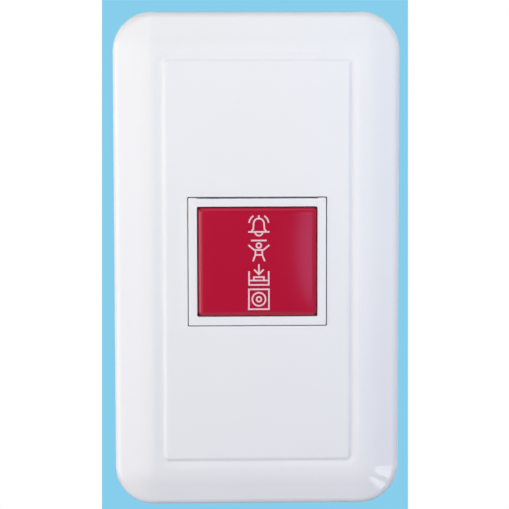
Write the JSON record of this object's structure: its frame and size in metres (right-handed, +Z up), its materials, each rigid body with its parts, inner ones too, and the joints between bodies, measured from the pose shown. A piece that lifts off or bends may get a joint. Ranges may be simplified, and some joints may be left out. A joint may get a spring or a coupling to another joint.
{
  "type": "panic button",
  "caption": "Wall-mounted emergency call button: red push cap in a white module on a white single-gang cover plate with bevelled rim and raised panel, with switch, springs and terminals behind.",
  "frame": {"origin": "middle of the two fixing slots, on the wall plane at the back of the mounting strap", "axes": "+Z up along the plate's long side, +Y into the wall, so the button faces -Y and +X is to the right as seen from the front"},
  "size_m": [0.0692, 0.0295, 0.12],
  "materials": {
    "cover_plastic": "semi-gloss off-white moulding",
    "base_plastic": "matte off-white moulding",
    "zinc_steel": "zinc plated, pressed sheet",
    "screw_steel": "zinc plated",
    "bezel_plastic": "semi-gloss off-white moulding",
    "housing_plastic": "matte light grey moulding",
    "terminal_plastic": "matte black moulding",
    "contact_brass": "pressed strip",
    "silver_point": "polished silver",
    "terminal_steel": "nickel plated",
    "spring_steel": "bright drawn wire",
    "red_plastic": "glossy red moulding",
    "slider_plastic": "natural white moulding"
  },
  "bodies": {
    "wall_unit": {"face_plate": "cover_plastic", "plate_base": "base_plastic", "mounting_strap": "zinc_steel", "plate_screws": "screw_steel", "bezel_frame": "bezel_plastic", "switch_body": "housing_plastic", "terminal_base": "terminal_plastic", "housing_screws": "screw_steel", "fixed_contact_left": "contact_brass", "fixed_contact_right": "contact_brass", "fixed_point_left": "silver_point", "fixed_point_right": "silver_point", "terminal_screws": "terminal_steel", "terminal_washers": "terminal_steel", "return_spring_upper": "spring_steel", "return_spring_lower": "spring_steel"},
    "button": {"button_cap": "red_plastic", "slider": "slider_plastic"},
    "bridge": {"contact_bridge": "contact_brass", "bridge_point_left": "silver_point", "bridge_point_right": "silver_point", "contact_spring": "spring_steel"}
  },
  "joints": [
    {"name": "button_press", "type": "slide", "parent": "wall_unit", "child": "button", "axis": [0, 1, 0], "range_m": [0, 0.0024], "stiffness_N_per_m": 600, "springref_m": -0.003, "deforming": ["return_spring_upper", "return_spring_lower", "contact_spring"]},
    {"name": "bridge_slide", "type": "slide", "parent": "wall_unit", "child": "bridge", "axis": [0, 1, 0], "range_m": [0, 0.00145]}
  ],
  "couplings": [
    {"joint": "bridge_slide", "follows": "button_press", "ratio": 0.6}
  ]
}
